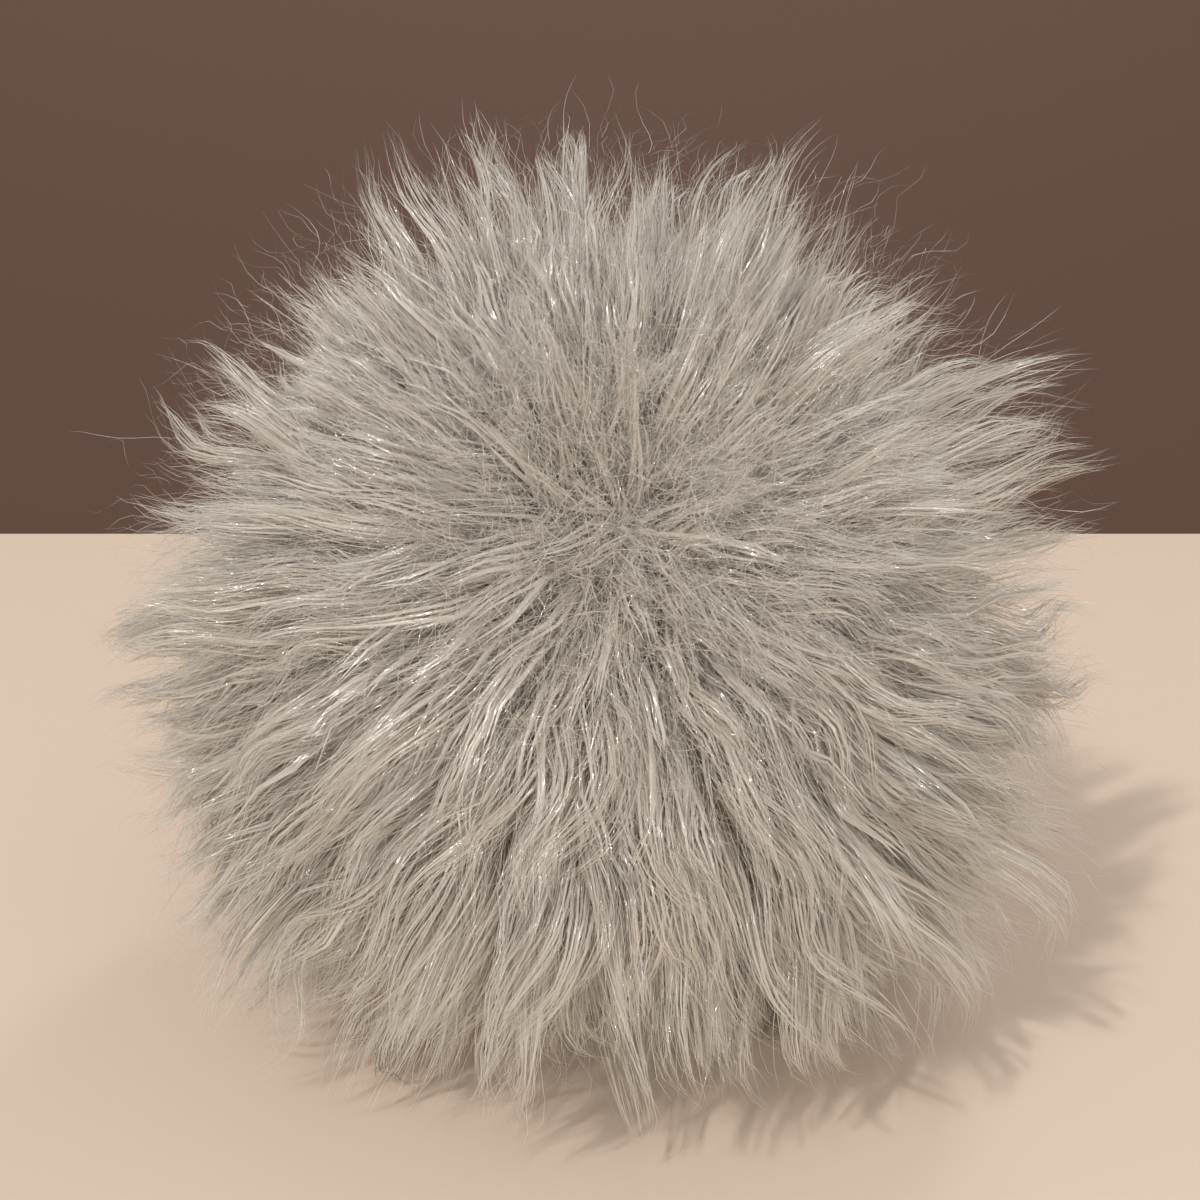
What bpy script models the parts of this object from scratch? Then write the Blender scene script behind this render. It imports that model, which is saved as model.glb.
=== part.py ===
"""Large long-pile faux-fur pom pom: one solid, a shaggy ball pressed flat where it rests.

Units are metres, +Z is up, and the ball rests on z = 0 with its centre above the origin.
The pile leaves a whorl, high on the side that faces -Y, and runs away from it all round the
ball in uneven rows of overlapping locks. Each lock rises from under the row before it to a
free tip, and the locks underneath are pressed flat.
"""

import bmesh
import bpy
import numpy as np
from mathutils import Vector

# The ball
PILE_REACH = 0.0825  # from the ball's centre to the tips of the longest locks
BODY_REACH = 0.0700  # how far out the dense fur goes, in the clefts between the locks
CENTRE_HEIGHT = 0.0690  # above the table, as the ball sinks into its own pile
FLAT_SPOT = 0.0370  # radius of the spot where even the clefts are pressed to the table

# The whorl that the pile leaves, on the front of the ball
WHORL_RISE = np.radians(32.0)  # above the level
WHORL_TURN = np.radians(3.0)  # from -Y towards +X

# The locks
LOCK_WIDTH = 0.0084  # from cleft to cleft
ROW_LENGTH = 0.0170  # what shows of each lock, along the pile
LOCK_RINGS = (  # from where a lock shows to its tip: share of the row, share of its rise
    (0.00, 0.20),
    (0.42, 0.60),
    (0.84, 1.00),
)
RISE_SPREAD = 0.60  # how much of its rise a short lock may lack
CLEFT_SPREAD = 0.0015  # how unevenly the clefts go in
TURN_SPREAD = 0.16  # how far a lock may stand off its even place, as a share of its width
LEAD_SPREAD = 0.10  # how far one lock may run ahead of the next, as a share of a row
SWAY = 0.0040  # how far the locks swing to either side as they run round the ball
SWAYS_ROUND = 2.5  # swings from the whorl to the far side
SEED = 7

# How the rows meander: each wave's direction across the ball, its waves per radius, and its size
# as a share of a row
ROW_WAVES = (
    ((0.8, 0.2, -0.5), 5.1, 0.34),
    ((-0.3, 0.9, 0.4), 6.7, 0.26),
    ((0.4, -0.3, 0.9), 8.3, 0.20),
)

FUR_COLOUR = (0.515, 0.456, 0.366, 1.0)  # warm ivory grey


def whorl_axes():
    """The direction of the whorl from the ball's centre, and two directions square to it."""
    level = np.array([np.sin(WHORL_TURN), -np.cos(WHORL_TURN), 0.0])
    whorl = level * np.cos(WHORL_RISE) + np.array([0.0, 0.0, np.sin(WHORL_RISE)])
    side = np.cross([0.0, 0.0, 1.0], whorl)
    side /= np.linalg.norm(side)
    return whorl, side, np.cross(whorl, side)


def towards(down, round_whorl):
    """The unit direction this far down from the whorl and this far round it."""
    whorl, side, over = whorl_axes()
    across = np.cos(round_whorl) * side + np.sin(round_whorl) * over
    return np.cos(down) * whorl + np.sin(down) * across


def lead(direction):
    """How far the rows run ahead of even circles in this direction, as a share of a row."""
    return sum(
        size * np.sin(waves * np.dot(axis, direction)) for axis, waves, size in ROW_WAVES
    )


def lock_points():
    """Directions from the ball's centre, and how far the surface lies along each of them."""
    rng = np.random.default_rng(SEED)
    rows = round(np.pi * PILE_REACH / ROW_LENGTH)
    row_angle = np.pi / rows
    points = [(towards(0.0, 0.0), BODY_REACH), (towards(np.pi, 0.0), BODY_REACH)]
    for row in range(rows):
        middle = (row + 0.5) * row_angle
        locks = max(round(2 * np.pi * PILE_REACH * np.sin(middle) / LOCK_WIDTH), 5)
        rise = (PILE_REACH - BODY_REACH) * (1 - RISE_SPREAD * rng.random(locks))
        cleft = CLEFT_SPREAD * rng.uniform(-1, 1, locks)
        turns = np.arange(locks) + TURN_SPREAD * rng.uniform(-1, 1, locks)
        turns = rng.uniform(0, 2 * np.pi) + 2 * np.pi * turns / locks
        ahead = LEAD_SPREAD * rng.uniform(-1, 1, locks)
        half = np.pi / locks
        for along, share in LOCK_RINGS:
            even = (row + along) * row_angle
            if even < row_angle / 4:
                continue  # the locks of the first row all start at the whorl
            sway = SWAY * np.sin(2 * SWAYS_ROUND * even) / (PILE_REACH * np.sin(middle))
            edge = np.sin(even) ** 0.5  # the rows stay even round the whorl and its far side
            for lock in range(locks):
                turn = turns[lock] + sway
                down = even + row_angle * edge * (lead(towards(even, turn)) + ahead[lock])
                points.append((towards(down, turn), BODY_REACH + rise[lock] * share))
                down = even + row_angle * edge * lead(towards(even, turn + half))
                points.append((towards(down, turn + half), BODY_REACH + cleft[lock]))
    return points


def resting_point(direction, reach):
    """The point at this reach, pressed to the table under the ball and never below it."""
    if direction[2] < 0:
        table = CENTRE_HEIGHT / -direction[2]
        pressed = table * np.hypot(direction[0], direction[1]) < FLAT_SPOT
        reach = table if pressed else min(reach, table)
    point = direction * reach + np.array([0.0, 0.0, CENTRE_HEIGHT])
    point[2] = 0.0 if point[2] < 1e-7 else point[2]
    return point


def fur_material():
    """Soft, slightly shiny synthetic fur."""
    material = bpy.data.materials.new("fur")
    material.use_nodes = True
    shader = material.node_tree.nodes["Principled BSDF"]
    shader.inputs["Base Color"].default_value = FUR_COLOUR
    shader.inputs["Roughness"].default_value = 0.55
    shader.inputs["Metallic"].default_value = 0.0
    return material


def centre_over_origin(shape):
    """Slides the shape level, so that the middle of its box is over the origin."""
    places = np.array([corner.co for corner in shape.verts])
    middle = (places.min(0) + places.max(0)) / 2
    for corner in shape.verts:
        corner.co.x -= middle[0]
        corner.co.y -= middle[1]


def fur_ball():
    """The whole pom pom: a closed skin over every lock."""
    shape = bmesh.new()
    reach_of = {}
    for direction, reach in lock_points():
        reach_of[shape.verts.new(Vector(direction))] = reach
    bmesh.ops.convex_hull(shape, input=shape.verts)
    for corner in shape.verts:
        direction = np.array(corner.co) / np.linalg.norm(np.array(corner.co))
        corner.co = Vector(resting_point(direction, reach_of[corner]))
    centre_over_origin(shape)
    bmesh.ops.recalc_face_normals(shape, faces=shape.faces)
    mesh = bpy.data.meshes.new("fur_ball")
    shape.to_mesh(mesh)
    shape.free()
    mesh.materials.append(fur_material())
    ball = bpy.data.objects.new("fur_ball", mesh)
    bpy.context.scene.collection.objects.link(ball)
    return ball


for old in list(bpy.data.objects):
    bpy.data.objects.remove(old)
fur_ball()
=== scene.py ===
"""A large faux-fur pom pom, standing on a pale table: a dense ball of long ivory-grey pile.

The pile leaves a whorl high on the front of the ball. Above it the locks stand out, springy
and pointed; below it they fall over one another in long S-shaped locks that end on the table.
"""

import bmesh
import bpy
import numpy as np
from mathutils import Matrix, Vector


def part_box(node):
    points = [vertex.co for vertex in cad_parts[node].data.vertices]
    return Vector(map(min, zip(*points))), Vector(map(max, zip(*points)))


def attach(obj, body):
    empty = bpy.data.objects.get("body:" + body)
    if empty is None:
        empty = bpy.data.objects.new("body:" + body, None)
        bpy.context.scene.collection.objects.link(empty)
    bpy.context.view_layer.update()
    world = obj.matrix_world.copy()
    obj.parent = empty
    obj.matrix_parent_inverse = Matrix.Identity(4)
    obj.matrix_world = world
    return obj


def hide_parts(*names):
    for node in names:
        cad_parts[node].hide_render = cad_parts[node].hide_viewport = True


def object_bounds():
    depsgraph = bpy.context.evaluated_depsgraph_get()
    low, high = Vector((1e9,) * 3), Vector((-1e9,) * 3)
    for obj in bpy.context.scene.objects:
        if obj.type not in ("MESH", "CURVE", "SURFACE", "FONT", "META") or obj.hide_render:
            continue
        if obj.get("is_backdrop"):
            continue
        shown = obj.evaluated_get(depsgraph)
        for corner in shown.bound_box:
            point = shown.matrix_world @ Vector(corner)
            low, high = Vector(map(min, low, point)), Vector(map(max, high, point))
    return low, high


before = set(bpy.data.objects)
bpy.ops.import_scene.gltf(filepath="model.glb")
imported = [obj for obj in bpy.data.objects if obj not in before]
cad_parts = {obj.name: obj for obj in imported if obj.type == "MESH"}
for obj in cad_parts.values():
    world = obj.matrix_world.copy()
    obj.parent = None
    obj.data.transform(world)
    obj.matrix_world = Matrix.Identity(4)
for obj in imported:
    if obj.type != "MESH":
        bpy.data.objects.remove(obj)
solid_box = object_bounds()
ball_low, ball_high = (np.array(corner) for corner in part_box("fur_ball"))

# The ball, from the solid that it stands for
REACH = (ball_high[0] - ball_low[0]) / 2  # from its centre to the tips of the pile
CENTRE = np.array([0.0, 0.0, ball_high[2] - REACH])
WHORL_RISE = np.radians(32.0)  # above the level, on the side that faces -Y
WHORL_TURN = np.radians(3.0)
WHORL = np.array(
    [
        np.sin(WHORL_TURN) * np.cos(WHORL_RISE),
        -np.cos(WHORL_TURN) * np.cos(WHORL_RISE),
        np.sin(WHORL_RISE),
    ]
)
UP = np.array([0.0, 0.0, 1.0])

# The fur
FUR_SEED, CORE_SEED = 11, 5
TABLE = 0.0004  # the lowest that a fibre lies
LONGEST = 0.0940  # the furthest that a fibre reaches from the centre
STEPS = 33  # points along each lock's own path
FINE_BAND, BROAD_BAND = 1 / 1024, 0.02  # half of the band of tones across a fibre
FINE_TURN, BROAD_TURN = 1.0, 0.3  # how far the shading turns at a fibre's edges
FINE_ROLL, BROAD_ROLL = 0.25, 0.10  # how much fibres roll about their own length
LOCK_SECTORS = ("locks_front_left", "locks_front_right", "locks_back_right", "locks_back_left")

# Each lock is a bundle of tufts, and each tuft a bundle of fibres. Lengths are in metres, angles
# in radians, and what ends in _up or _down is for the upper or the lower part of the ball.
LOCKS = {
    "locks": 760,
    "crown": 80,  # of them, how many stand round the whorl
    "crown_spread": 0.35,
    "groups": 200,  # of neighbouring locks
    "tufts": 5,  # in each lock
    "fibres": 12,  # in each tuft
    "broad": 3,  # of them, how many are broad ribbons
    "points": 9,  # along each fibre
    # where a lock leaves the ball, and how far its tip reaches from the centre
    "start": 0.10,
    "root": 0.048,
    "tip_low": 0.0630,
    "tip_low_down": 0.0780,
    "tip_high": 0.0930,
    "tip_high_down": 0.0925,
    "tip_crown": 0.90,
    "flare_front": 0.98,
    "flare_side": 1.15,
    "skew_up": 2.3,  # the higher, the fewer of the locks are long
    "skew_down": 0.9,
    "skew_top": 0.5,
    # how it turns from the lie of the pile, bends over and sways
    "turn": 0.22,
    "turn_crown": 0.35,
    "bend_up": 0.70,
    "bend_front": 1.10,
    "bend_side": 0.98,
    "bend_crown": 1.4,
    "bend_spread": (0.75, 1.25),
    "bent_by": 0.55,  # the share of its length by which it has bent
    "sway_up": 0.42,
    "sway_down": 0.72,
    "sway_spread": (0.2, 1.4),
    "sway_turns": (0.9, 1.6),
    "lift": 0.35,
    "pull": 0.62,  # towards the middle of its group
    # its size, and how its tufts draw together and wave
    "half_width": 0.0050,
    "half_width_spread": 0.22,
    "lock_tip": 0.15,
    "tuft_size": 0.62,
    "tuft_tip": 0.14,
    "tuft_end": 0.76,
    "tuft_wave": 0.0007,
    "tuft_turns": (1.0, 2.4),
    "splay": 0.22,
    "flatness": 0.8,
    "round": 0.7,
    # its fibres: where they end, how they curl and stray, how wide and how pale they are
    "fibre_end": 0.25,
    "broad_end": 0.84,
    "broad_inside": 0.55,
    "frizz": 0.00042,
    "loose": 0.24,
    "loose_frizz": 1.9,
    "astray": 0.0018,
    "width": 0.00011,
    "broad_width": 0.00042,
    "width_spread": 0.18,
    "lock_tones": 0.10,
    "fibre_tones": 0.05,
    "broad_tone": 0.02,
}
UNDER = dict(
    LOCKS,
    locks=1100,
    crown=320,
    crown_spread=0.38,
    tufts=2,
    fibres=6,
    points=5,
    start=0.0,
    tip_low=0.0620,
    tip_low_down=0.0660,
    tip_high=0.0720,
    tip_high_down=0.0760,
    tip_crown=1.03,
    lock_tip=0.8,
    tuft_tip=0.5,
    loose=0.4,
    width=0.00016,
    broad_width=0.0009,
)
STRAY = dict(
    LOCKS,
    locks=1000,
    crown=50,
    tufts=2,
    fibres=3,
    broad=0,
    points=7,
    start=0.3,
    tip_low=0.0700,
    tip_low_down=0.0760,
    tip_high=0.0890,
    tip_high_down=0.0910,
    skew_up=2.0,
    skew_down=1.2,
    frizz=0.00030,
    loose=1.0,
    loose_frizz=1.4,
    astray=0.0026,
    width=0.00007,
)
CURLS = {
    "fibres": 11500,
    "crown": 4400,
    "crown_spread": 0.32,
    "points": 7,
    "root_low": 0.056,
    "root_high": 0.074,
    "stand": 0.50,  # how much they stand out, follow the lie of the pile, and go astray
    "lie": 0.7,
    "wild": 0.45,
    "short": 0.007,
    "long": 0.017,
    "curl": 1.2,
    "curl_turns": (0.4, 1.5),
    "width": 0.00005,
    "width_spread": 0.18,
    # paler than the locks' tones: painted light, for glints on the curls and to lift the shade
    # in the clefts and round the whorl
    "tones": (0.45, 0.90),
}


# ---------------------------------------------------------------- finishes


class Val:
    """A socket, with the operators that add Math nodes to its tree."""

    def __init__(self, tree, socket):
        self.tree, self.socket = tree, socket

    def maths(self, operation, other):
        values = {0: self, 1: other}
        return self.tree.node("ShaderNodeMath", {"operation": operation}, values).out(0)

    def __add__(self, other):
        return self.maths("ADD", other)

    def __mul__(self, other):
        return self.maths("MULTIPLY", other)

    def __sub__(self, other):
        return self.maths("SUBTRACT", other)

    def __rsub__(self, other):
        return (self * -1.0) + other

    __radd__, __rmul__ = __add__, __mul__


class Made:
    """A node that has been added, from which its outputs are read."""

    def __init__(self, tree, made):
        self.tree, self.made = tree, made

    def out(self, name):
        return Val(self.tree, self.made.outputs[name])


class Finish:
    """A material with one Principled shader, whose sockets take values or links."""

    def __init__(self, name, **plain):
        self.material = bpy.data.materials.new(name)
        self.material.use_nodes = True
        self.nodes = self.material.node_tree.nodes
        self.links = self.material.node_tree.links
        self.shader = self.nodes["Principled BSDF"]
        for socket, value in plain.items():
            self.shader.inputs[socket.replace("_", " ")].default_value = value

    def node(self, kind, settings=(), values=()):
        made = self.nodes.new(kind)
        for name, value in dict(settings).items():
            if name == "stops":
                self.set_stops(made.color_ramp, value)
            else:
                setattr(made, name, value)
        for name, value in dict(values).items():
            self.feed(made.inputs[name], value)
        return Made(self, made)

    def set_stops(self, ramp, stops):
        while len(ramp.elements) < len(stops):
            ramp.elements.new(0.5)
        for element, (place, colour) in zip(ramp.elements, stops):
            element.position, element.color = place, (*colour, 1.0)

    def feed(self, socket, value):
        if isinstance(value, Val):
            self.links.new(value.socket, socket)
        else:
            socket.default_value = value

    def wear(self, socket, value):
        self.feed(self.shader.inputs[socket], value)

    def mix(self, factor, first, second, blend="MIX"):
        settings = {"data_type": "RGBA", "blend_type": blend}
        values = {0: factor, 6: first, 7: second}
        return self.node("ShaderNodeMix", settings, values).out(2)

    def noise(self, place, scale, detail):
        values = {"Vector": place, "Scale": scale, "Detail": detail}
        return self.node("ShaderNodeTexNoise", values=values).out("Fac")

    def streaks(self, place, size, detail):
        """Noise drawn out along the fibres: its size across them, and along them."""
        values = {0: place, 1: (*size, 0.0)}
        drawn = self.node("ShaderNodeVectorMath", {"operation": "MULTIPLY"}, values)
        return self.noise(drawn.out(0), 1.0, detail)

    def relief(self, height, strength, depth):
        values = {"Strength": strength, "Distance": depth, "Height": height}
        self.wear("Normal", self.node("ShaderNodeBump", values=values).out(0))


def fibre_finish():
    """Silky synthetic fibre, finely streaked, each of its own tone. Painted shade makes it
    warmer and
    darker where it leaves the skin: its map holds its tone across and its length along."""
    finish = Finish("fur_fibre", IOR=1.7, Specular_IOR_Level=1.0)
    place = finish.node("ShaderNodeUVMap", {"uv_map": "OFBake"}).out(0)
    parts = finish.node("ShaderNodeSeparateXYZ", values={0: place})
    tone, along = parts.out(0), parts.out(1)
    streaks = finish.streaks(place, (110.0, 5.0), 2.0)
    glints = finish.streaks(place, (700.0, 24.0), 1.0)
    tones = [
        (0.00, (0.550, 0.502, 0.438)),
        (0.20, (0.665, 0.630, 0.572)),
        (0.50, (0.735, 0.706, 0.655)),
        (0.85, (0.800, 0.777, 0.736)),
        (1.00, (0.890, 0.876, 0.846)),
    ]
    own = finish.node("ShaderNodeValToRGB", {"stops": tones}, {0: tone}).out(0)
    # painted shade: each fibre darkens and warms towards its root, where the fur above it shades
    # it
    painted_shade_stops = [
        (0.00, (0.88, 0.83, 0.77)),
        (0.35, (0.97, 0.95, 0.93)),
        (1.00, (1.00, 1.00, 1.00)),
    ]
    painted_root_shade = finish.node("ShaderNodeValToRGB", {"stops": painted_shade_stops}, {0: along}).out(0)
    colour = finish.mix(1.0, own, painted_root_shade, "MULTIPLY")
    between_streaks = (0.80, 0.775, 0.74, 1.0)
    duller = finish.mix(1.0, colour, between_streaks, "MULTIPLY")
    finish.wear("Base Color", finish.mix(streaks, duller, colour))
    dullest, gloss = 0.36, 0.54
    finish.wear("Roughness", dullest - glints * gloss)
    finish.relief(streaks, 0.35, 0.0002)
    return finish.material


def under_fur_finish():
    """The dense fur deep in the clefts, mottled with fine dark and light flecks."""
    finish = Finish("under_fur", Roughness=0.8)
    place = finish.node("ShaderNodeTexCoord").out("Object")
    flecks = finish.noise(place, 900.0, 3.0)
    patches = finish.noise(place, 90.0, 2.0)
    dark, light = (0.68, 0.62, 0.54, 1.0), (0.88, 0.84, 0.77, 1.0)
    finish.wear("Base Color", finish.mix(flecks * 0.6 + patches * 0.4, dark, light))
    finish.relief(flecks, 0.8, 0.001)
    return finish.material


# ---------------------------------------------------------------- the lie of the pile


def unit(vectors):
    return vectors / np.maximum(np.linalg.norm(vectors, axis=-1, keepdims=True), 1e-9)


def dot(a, b):
    return (a * b).sum(-1, keepdims=True)


def blend(low, high, share):
    return low + (high - low) * share


def smooth(low, high, value):
    share = np.clip((value - low) / (high - low), 0, 1)
    return share * share * (3 - 2 * share)


def any_angle(rng, size):
    return rng.uniform(0, 2 * np.pi, size)


def even_directions(count, rng, unevenness):
    """Directions spread evenly over the ball, each moved a little at random."""
    step = np.arange(count) + 0.5
    height = 1 - 2 * step / count
    turn = step * np.pi * (3 - np.sqrt(5))
    level = np.sqrt(1 - height**2)
    out = np.stack([level * np.cos(turn), level * np.sin(turn), height], 1)
    apart = np.sqrt(4 * np.pi / count)
    return unit(out + apart * unevenness * rng.normal(size=out.shape))


def directions_near_whorl(kind, rng):
    return unit(WHORL + kind["crown_spread"] * rng.normal(size=(kind["crown"], 3)))


def combed(out):
    """Which way the pile lies here, how strongly, and how far it falls rather than stands.

    It lies away from the whorl on the front and falls straight down at the back."""
    away = dot(out, WHORL) * out - WHORL
    down = dot(out, UP) * out - UP
    behind = smooth(0.2, -0.8, dot(out, WHORL))
    lie = away * (1 - behind) + down * behind
    strength = np.clip(np.linalg.norm(lie, axis=-1, keepdims=True), 0, 1)
    lie = unit(lie)
    return lie, strength, smooth(0.55, -0.75, lie[:, 2:])


def tip_reach(kind, length, low, sideways, strength):
    """How far from the centre each tip lies, for locks from short (0) to long (1)."""
    shortest = blend(kind["tip_low"], kind["tip_low_down"], low)
    longest = blend(kind["tip_high"], kind["tip_high_down"], low)
    tip = blend(shortest, longest, length)
    tip = tip * blend(kind["tip_crown"], 1.0, smooth(0.1, 0.7, strength))
    flare = blend(kind["flare_front"], kind["flare_side"], sideways)
    return np.minimum(tip * blend(1.0, flare, low), LONGEST)


def lock_paths(root, out, runs, tip):
    """The points of each lock, which follows its runs until its tip reaches far enough.

    A lock that comes down to the table levels out over it, and keeps its length."""
    whole = runs.sum(0)
    even = root * dot(out, whole)
    size = dot(whole, whole)
    long = (np.sqrt(even**2 + size * (tip**2 - root**2)) - even) / size
    points = [CENTRE + root * out]
    for run in runs:
        step = long * run
        clear = np.maximum(points[-1][:, 2] - 3 * TABLE, 0)
        level = np.maximum(step[:, 2], -0.3 * clear)
        spare = np.linalg.norm(step, axis=1) ** 2 - level**2
        across = np.linalg.norm(step[:, :2], axis=1)
        longer = np.sqrt(np.maximum(spare, 0)) / np.maximum(across, 1e-9)
        pressed = (level > step[:, 2])[:, None]
        laid = np.concatenate([step[:, :2] * longer[:, None], level[:, None]], 1)
        points.append(points[-1] + np.where(pressed, laid, step))
    return np.stack(points, 1)


def lock_guides(kind, rng):
    """A table of locks: where each leaves the ball and how it runs.

    Neighbouring locks share much of their lie, and draw together into larger tufts."""
    out = even_directions(kind["locks"] - kind["crown"], rng, 0.30)
    out = np.concatenate([out, directions_near_whorl(kind, rng)])
    groups = even_directions(kind["groups"], rng, 0.35)
    group = np.argmax(out @ groups.T, axis=1)
    like = (kind["locks"], 1)

    def shared(draw, share=0.6):
        """Draws that are partly each lock's own and partly those of its whole group."""
        whole = draw((kind["groups"], 1))[group]
        return whole * share + draw(like) * (1 - share)

    lie, strength, fall = combed(out)
    side = unit(np.cross(out, lie))
    height = out[:, 2:]
    low = smooth(0.35, -0.35, height)
    sideways = out[:, :1] ** 2 / (out[:, :1] ** 2 + out[:, 1:2] ** 2)
    sideways = smooth(0.02, 0.6, sideways)
    lean = np.clip(2.4 * strength, 0, 1)

    turn = shared(lambda size: rng.normal(0, kind["turn"], size))
    turn = turn + (1 - smooth(0.1, 0.9, lean)) * rng.normal(0, kind["turn_crown"], like)
    lie, side = (
        np.cos(turn) * lie + np.sin(turn) * side,
        np.cos(turn) * side - np.sin(turn) * lie,
    )
    hang = blend(kind["bend_front"], kind["bend_side"], sideways)
    bend = blend(kind["bend_up"], hang, fall) * (0.4 + 0.6 * lean)
    bend = bend * blend(kind["bend_crown"], 1.0, smooth(0.15, 0.75, strength))
    bend = bend * shared(lambda size: rng.uniform(*kind["bend_spread"], size))
    sway = blend(kind["sway_up"], kind["sway_down"], fall) * smooth(0.0, 0.6, strength)
    sway = sway * shared(lambda size: rng.uniform(*kind["sway_spread"], size))
    start = shared(lambda size: any_angle(rng, size), 0.8)
    turns = shared(lambda size: rng.uniform(*kind["sway_turns"], size))
    roll = any_angle(rng, like)
    skew = blend(kind["skew_up"], kind["skew_down"], low)
    skew = skew + kind["skew_top"] * smooth(0.5, 0.9, height)
    length = shared(lambda size: rng.random(size), 0.8) ** skew
    pull = kind["pull"] * (0.8 + 0.5 * fall) * (groups[group] - out)
    lift = kind["lift"] * smooth(-0.1, 0.5, height) * (1 - fall)

    steps = np.linspace(0, 1, STEPS)
    runs = []
    for s in (steps[1:] + steps[:-1]) / 2:
        bent = bend * smooth(0.0, kind["bent_by"], s)
        swing = sway * np.sin(2 * np.pi * turns * s + start) * smooth(0.1, 0.5, s)
        run = np.cos(bent) * out + np.sin(bent) * lie
        run = run + swing * (np.cos(roll) * side + np.sin(roll) * np.cross(run, side))
        runs.append(unit(run + pull * smooth(0.2, 1.0, s) + lift * s**2 * UP))
    runs = np.array(runs) / (STEPS - 1)
    tip = tip_reach(kind, length, low, sideways, strength)
    return {
        "points": lock_paths(kind["root"], out, runs, tip),
        "side": side,
        "tone": shared(lambda size: rng.normal(0.0, kind["lock_tones"], size)),
        "fall": fall,
        "strength": strength,
    }


def along_locks(guides, owner, share):
    """Points at these shares of the length of each fibre's lock, and the directions
    across it (flat) and through it (thick)."""
    place = np.clip(share, 0, 0.9999) * (STEPS - 1)
    step = place.astype(int)
    part = (place - step)[..., None]
    path = guides["points"]
    mine = owner[:, None]
    before, after = path[mine, step], path[mine, step + 1]
    points = blend(before, after, part)
    run = unit(after - before)
    side = guides["side"][owner][:, None, :]
    flat = unit(side - dot(side, run) * run)
    return points, flat, np.cross(run, flat)


def laid_on_table(points, rng):
    """No fibre reaches too far, and those that would pass through the table spread
    outwards over it instead."""
    low = TABLE + 0.0012 * rng.random((len(points), 1))
    out = points - CENTRE
    reach = np.linalg.norm(out, axis=-1, keepdims=True)
    points = CENTRE + out * np.minimum(LONGEST / reach, 1)
    under = np.maximum(low - points[..., 2], 0)
    level = points[..., :2]
    outward = level / np.maximum(np.linalg.norm(level, axis=-1, keepdims=True), 1e-6)
    points[..., :2] += outward * (0.45 * under[..., None])
    points[..., 2] = np.maximum(points[..., 2], low)
    return points


# ---------------------------------------------------------------- locks and fibres


def in_disc(count, rng):
    """Places spread evenly over a disc of radius 1."""
    angle, radius = any_angle(rng, count), np.sqrt(rng.random(count))
    return np.stack([radius * np.cos(angle), radius * np.sin(angle)])


def grow(kind, rng):
    """The fibres of one kind of fur: their points, facing, widths, tones, and the broad ones.

    Fibres gather in tufts and tufts in locks, and both draw together towards their tips."""
    guides = lock_guides(kind, rng)
    tufts = kind["locks"] * kind["tufts"]
    count = tufts * kind["fibres"]
    tuft_lock = np.repeat(np.arange(kind["locks"]), kind["tufts"])
    tuft = np.repeat(np.arange(tufts), kind["fibres"])
    owner = tuft_lock[tuft]
    broad = np.arange(count) % kind["fibres"] < kind["broad"]

    tuft_place = in_disc(tufts, rng)
    tuft_end = rng.uniform(kind["tuft_end"], 1.0, tufts)
    tuft_splay = rng.normal(0, kind["splay"], (tufts, 2))
    fibre_place = in_disc(count, rng) * (1 - kind["broad_inside"] * broad)
    end = tuft_end[tuft] * (1 - kind["fibre_end"] * rng.random(count) ** 1.5)
    end = np.where(broad, tuft_end[tuft] * kind["broad_end"], end)
    grid = blend(kind["start"], 1.0, np.linspace(0, 1, kind["points"]) ** 0.85)
    share = grid[None, :] * end[:, None]
    points, flat, thick = along_locks(guides, owner, share)

    half = kind["half_width"] * rng.lognormal(0, kind["half_width_spread"], kind["locks"])
    half = half[owner][:, None]
    fall = guides["fall"][owner]
    lock_tip = kind["lock_tip"] * (0.5 + fall)
    lock_size = half * (0.85 + 0.45 * share) * (1 - share**2.0 * (1 - lock_tip))
    drawn = (share / end[:, None]) ** 1.3
    tuft_size = half * kind["tuft_size"] * (1 - drawn * (1 - kind["tuft_tip"]))
    spot = tuft_place[:, tuft, None] * lock_size + fibre_place[..., None] * tuft_size
    spot = spot + tuft_splay[tuft].T[..., None] * (half * share**1.5)
    start, turns = any_angle(rng, (2, tufts)), rng.uniform(*kind["tuft_turns"], tufts)
    phase = 2 * np.pi * turns[tuft][:, None] * share
    wave = kind["tuft_wave"] * (0.35 + fall) * share
    spot = spot + wave * np.sin(phase + start[:, tuft, None])

    loose = (rng.random(count) < kind["loose"] * ~broad)[:, None] * share**1.2
    for waves, size in ((1.3, 1.0), (2.9, 0.45)):
        start = any_angle(rng, (2, count, 1))
        swing = kind["frizz"] * size * (1 + kind["loose_frizz"] * loose)
        spot = spot + swing * (np.sin(2 * np.pi * waves * share + start) * share)
    spot = spot + rng.normal(0, kind["astray"], (2, count, 1)) * loose
    across, through = spot
    thin = blend(1.0, kind["flatness"], share)
    offset = across[..., None] * flat + (through * thin)[..., None] * thick
    facing = unit(unit(points - CENTRE) + kind["round"] * offset / half[..., None])
    points = laid_on_table(points + offset, rng)

    own = rng.normal(0, kind["fibre_tones"], count) * (1 - 0.7 * broad)
    own = own - kind["broad_tone"] * broad
    tone = np.clip(0.5 + guides["tone"][owner, 0] + own, 0.04, 0.96)
    width = kind["width"] * (0.7 + 0.3 * guides["strength"][owner, 0])
    width = np.where(broad, kind["broad_width"], width)
    width = width * rng.lognormal(0, kind["width_spread"], count)
    return points, facing, width, tone, broad


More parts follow.
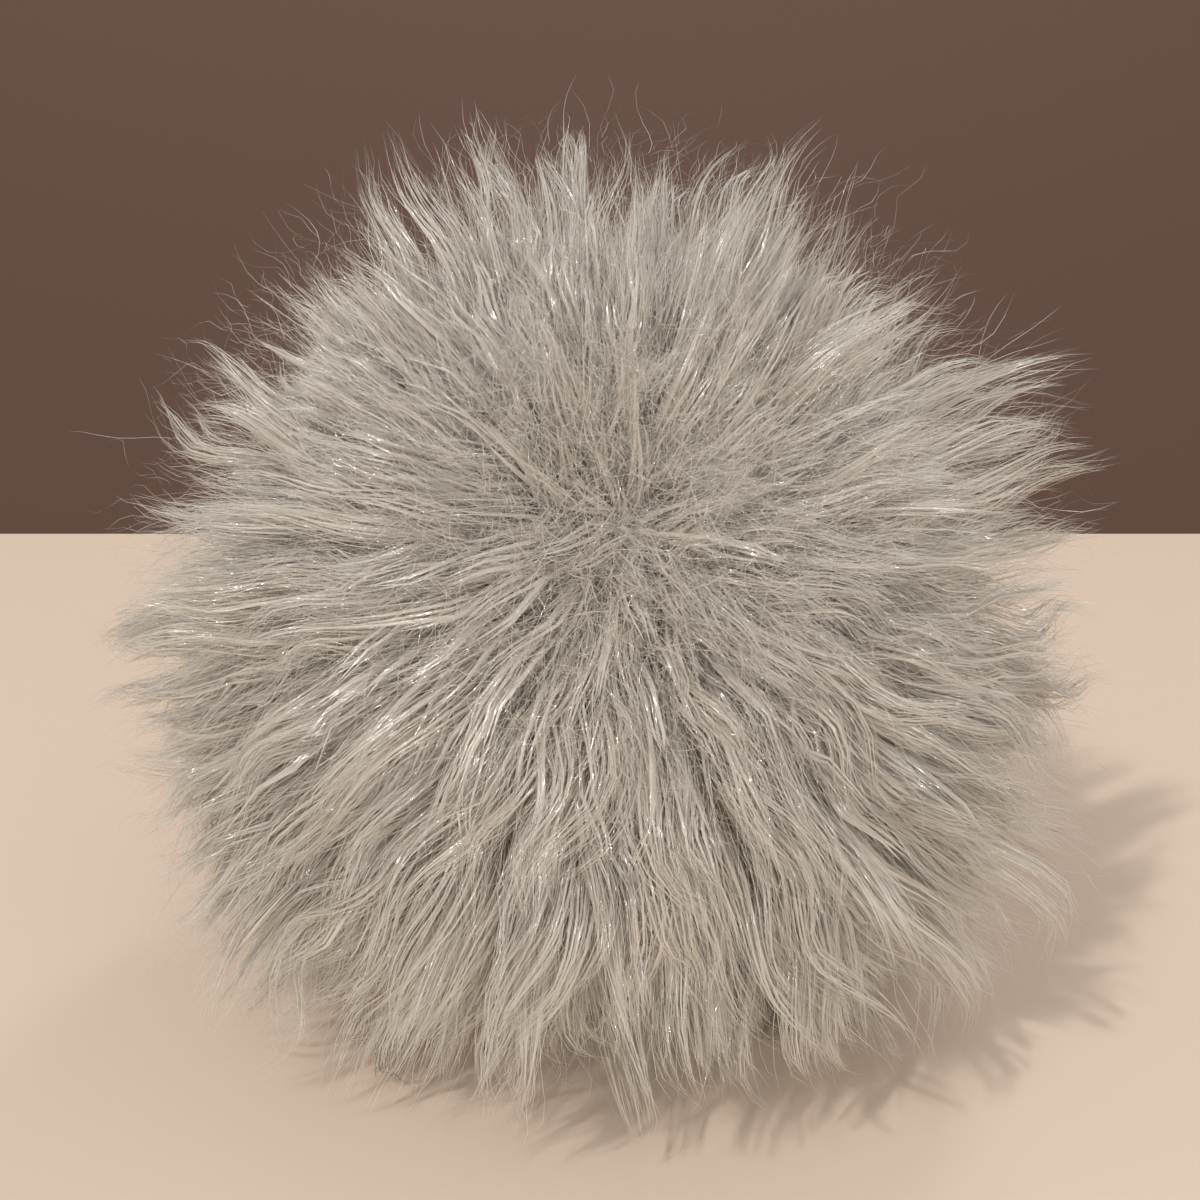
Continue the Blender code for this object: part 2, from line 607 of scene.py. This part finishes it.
def curls(kind, rng):
    """Short single fibres that curl every way over the ball and in the clefts."""
    count = kind["fibres"]
    around = directions_near_whorl(kind, rng)
    out = np.concatenate([even_directions(count - kind["crown"], rng, 1.0), around])
    lie, strength, _ = combed(out)
    reach = rng.uniform(kind["root_low"], kind["root_high"], (count, 1))
    wild = kind["wild"] * rng.normal(size=out.shape)
    aim = unit(out * kind["stand"] + lie * strength * kind["lie"] + wild)
    first = unit(np.cross(aim, rng.normal(size=out.shape)))
    second = np.cross(aim, first)
    long = rng.uniform(kind["short"], kind["long"], (count, 1))
    turns = rng.uniform(*kind["curl_turns"], (count, 1)) * 2 * np.pi
    start, curl = any_angle(rng, (count, 1)), kind["curl"] * rng.random((count, 1))
    points = [CENTRE + out * reach]
    steps = kind["points"] - 1
    for s in (np.arange(steps) + 0.5) / steps:
        swing = np.cos(turns * s + start) * first + np.sin(turns * s + start) * second
        points.append(points[-1] + unit(aim + curl * swing) * long / steps)
    points = laid_on_table(np.stack(points, 1), rng)
    width = kind["width"] * rng.lognormal(0, kind["width_spread"], count)
    # painted light: the curls are paler than the locks, standing for glints and lifting the
    # shade in the clefts
    tone = rng.uniform(*kind["tones"], count)
    return points, unit(points - CENTRE), width, tone, np.zeros(count, bool)


# ---------------------------------------------------------------- the pieces


def add(name, data):
    piece = bpy.data.objects.new(name, data)
    bpy.context.scene.collection.objects.link(piece)
    return piece


def on_corners(left, right, tip):
    """Values at each fibre's corners: two at every step but the last, and one at its tip."""
    both = np.stack([left[:, :-1], right[:, :-1]], 2)
    both = both.reshape(len(left), -1, left.shape[-1])
    return np.concatenate([both, tip[:, None]], 1)


def fibre_faces(count, steps):
    """The corners of each face and their number: four-sided faces, then one to the tip."""
    per = 2 * (steps - 1) + 1
    quads = steps - 2
    first = (np.arange(count) * per)[:, None]
    rung = first + 2 * np.arange(quads)[None, :]
    face = np.stack([rung, rung + 1, rung + 3, rung + 2], -1)
    tip = first + np.array([per - 3, per - 2, per - 1])
    corners = np.concatenate([face.reshape(count, -1), tip], 1).ravel()
    return corners, np.tile(np.array([4] * quads + [3]), count)


def fibre_mesh(name, points, facing, width, tone, broad, finish, rng):
    """Flat tapered fibres, shaded as if round, as one mesh."""
    count, steps, _ = points.shape
    run = unit(np.gradient(points, axis=1))
    across = np.cross(run, facing)
    poor = np.linalg.norm(across, axis=-1, keepdims=True) < 0.15
    across = unit(np.where(poor, np.cross(run, UP + 0.3 * WHORL), across))
    through = np.cross(across, run)
    roll = rng.normal(0, np.where(broad, BROAD_ROLL, FINE_ROLL))[:, None, None]
    across, through = (
        np.cos(roll) * across + np.sin(roll) * through,
        np.cos(roll) * through - np.sin(roll) * across,
    )
    grid = np.linspace(0, 1, steps)
    broad = broad[:, None]
    taper = np.where(broad, 1 - 0.9 * grid**1.3, 1 - 0.75 * grid**2.5)
    half = (width[:, None] * taper / 2)[..., None] * across
    turned = np.where(broad, BROAD_TURN, FINE_TURN)[..., None] * across
    band = np.where(broad, BROAD_BAND, FINE_BAND)[..., None] * np.array([1.0, 0.0])
    place = np.stack(np.broadcast_arrays(tone[:, None], grid[None, :]), -1)
    corners = on_corners(points - half, points + half, points[:, -1])
    normals = on_corners(unit(through - turned), unit(through + turned), through[:, -1])
    places = on_corners(place - band, place + band, place[:, -1])
    loops, sizes = fibre_faces(count, steps)

    mesh = bpy.data.meshes.new(name)
    mesh.vertices.add(corners.size // 3)
    mesh.vertices.foreach_set("co", corners.astype(np.float32).ravel())
    mesh.loops.add(loops.size)
    mesh.loops.foreach_set("vertex_index", loops.astype(np.int32))
    mesh.polygons.add(len(sizes))
    starts = np.concatenate([[0], np.cumsum(sizes)[:-1]])
    mesh.polygons.foreach_set("loop_start", starts.astype(np.int32))
    mesh.polygons.foreach_set("loop_total", sizes.astype(np.int32))
    mesh.polygons.foreach_set("use_smooth", np.ones(len(sizes), bool))
    mesh.update(calc_edges=True)
    layer = mesh.uv_layers.new(name="OFBake")
    places = places.reshape(-1, 2)[loops]
    layer.uv.foreach_set("vector", places.astype(np.float32).ravel())
    mesh.normals_split_custom_set_from_vertices(normals.reshape(-1, 3))
    mesh.materials.append(finish)
    return add(name, mesh)


def fur_core(finish):
    """The dense fur under the locks, as a lumpy ball."""
    shape = bmesh.new()
    bmesh.ops.create_icosphere(shape, subdivisions=5, radius=1.0)
    places = unit(np.array([corner.co for corner in shape.verts]))
    rng = np.random.default_rng(CORE_SEED)
    bumps = np.zeros(len(places))
    for waves in (6.0, 11.0, 19.0, 31.0):
        for _ in range(6):
            axis = unit(rng.normal(size=3)) * waves
            bumps += np.sin(places @ axis + rng.uniform(0, 6.3)) / waves
    raised = smooth(0.70, 1.0, places @ WHORL)
    reach = 0.0500 + 0.0030 * bumps + 0.0040 * raised
    points = CENTRE + places * reach[:, None]
    points[:, 2] = np.maximum(points[:, 2], 0.002)
    for corner, place in zip(shape.verts, points):
        corner.co = Vector(place)
    mesh = bpy.data.meshes.new("fur_core")
    shape.to_mesh(mesh)
    shape.free()
    mesh.shade_smooth()
    mesh.materials.append(finish)
    return add("fur_core", mesh)


def ride_as_fur(piece):
    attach(piece, "root")
    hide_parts("fur_ball")
    return piece


def by_sector(fibres):
    """The fibres of the long locks in four lots, by where on the ball their locks start."""
    per = LOCKS["tufts"] * LOCKS["fibres"]
    place = fibres[0][::per, 0, :2]
    order = np.argsort(np.arctan2(place[:, 1], place[:, 0]))
    sector = np.empty(len(order), int)
    sector[order] = np.arange(len(order)) * len(LOCK_SECTORS) // len(order)
    sector = np.repeat(sector, per)
    for number, name in enumerate(LOCK_SECTORS):
        yield name, [values[sector == number] for values in fibres]


def build():
    fibre, under = fibre_finish(), under_fur_finish()
    core = ride_as_fur(fur_core(under))
    rng = np.random.default_rng(FUR_SEED)
    for name, fibres in by_sector(grow(LOCKS, rng)):
        ride_as_fur(fibre_mesh(name, *fibres, fibre, rng))
    ride_as_fur(fibre_mesh("under_locks", *grow(UNDER, rng), fibre, rng))
    ride_as_fur(fibre_mesh("stray_fibres", *grow(STRAY, rng), fibre, rng))
    ride_as_fur(fibre_mesh("curls", *curls(CURLS, rng), fibre, rng))


# ---------------------------------------------------------------- table, light and camera


def plain_board(name, colour, place, tilt=0.0):
    """A flat board of the set, which isn't part of the ball."""
    mesh = bpy.data.meshes.new(name)
    wide, deep = 4.0, 2.0
    corners = [(-wide, -deep, 0), (wide, -deep, 0), (wide, deep, 0), (-wide, deep, 0)]
    mesh.from_pydata(corners, [], [(0, 1, 2, 3)])
    mesh.materials.append(Finish(name, Roughness=0.6, Base_Color=(*colour, 1.0)).material)
    piece = add(name, mesh)
    piece.location, piece.rotation_euler = place, (tilt, 0, 0)
    piece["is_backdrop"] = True


def table():
    far_edge, wall = 0.246, 1.2
    plain_board("pale_table", (0.91, 0.745, 0.61), (0, far_edge - 2.0, 0))
    plain_board("backdrop", (0.145, 0.078, 0.055), (0, wall, 0), np.pi / 2)


def aim(piece, direction):
    piece.rotation_euler = direction.to_track_quat("-Z", "Y").to_euler()


def lamp(name, place, size, power, colour=(1.0, 1.0, 1.0)):
    light = bpy.data.lights.new(name, "AREA")
    light.shape, light.size = "DISK", size
    light.energy, light.color = power, colour
    piece = add(name, light)
    piece.location = place
    aim(piece, Vector(CENTRE) - Vector(place))


def light_it():
    world = bpy.data.worlds.new("room")
    bpy.context.scene.world = world
    world.use_nodes = True
    air = world.node_tree.nodes["Background"].inputs
    air["Color"].default_value = (0.86, 0.83, 0.79, 1)
    air["Strength"].default_value = 0.585
    warm = (1.0, 0.97, 0.93)
    lamp("window", (-0.95, -1.19, 1.95), 0.09, 22.0, warm)
    lamp("fill", (0.55, -2.20, 0.90), 0.25, 14.0, warm)
    lamp("back", (0.55, 1.00, 1.30), 0.30, 3.0)
    bpy.context.scene.view_settings.view_transform = "Standard"


def camera():
    lens = bpy.data.cameras.new("camera")
    lens.lens, lens.sensor_width = 45.0, 36.0
    lens.clip_start = 0.01
    piece = add("camera", lens)
    rise, distance = np.radians(21.0), 0.25
    back = Vector((0.0, -np.cos(rise), np.sin(rise)))
    piece.location = Vector(CENTRE) + back * distance
    aim(piece, -back)
    bpy.context.scene.camera = piece


camera()
table()
light_it()
build()

shown_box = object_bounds()
[[list(corner) for corner in box] for box in (solid_box, shown_box)]
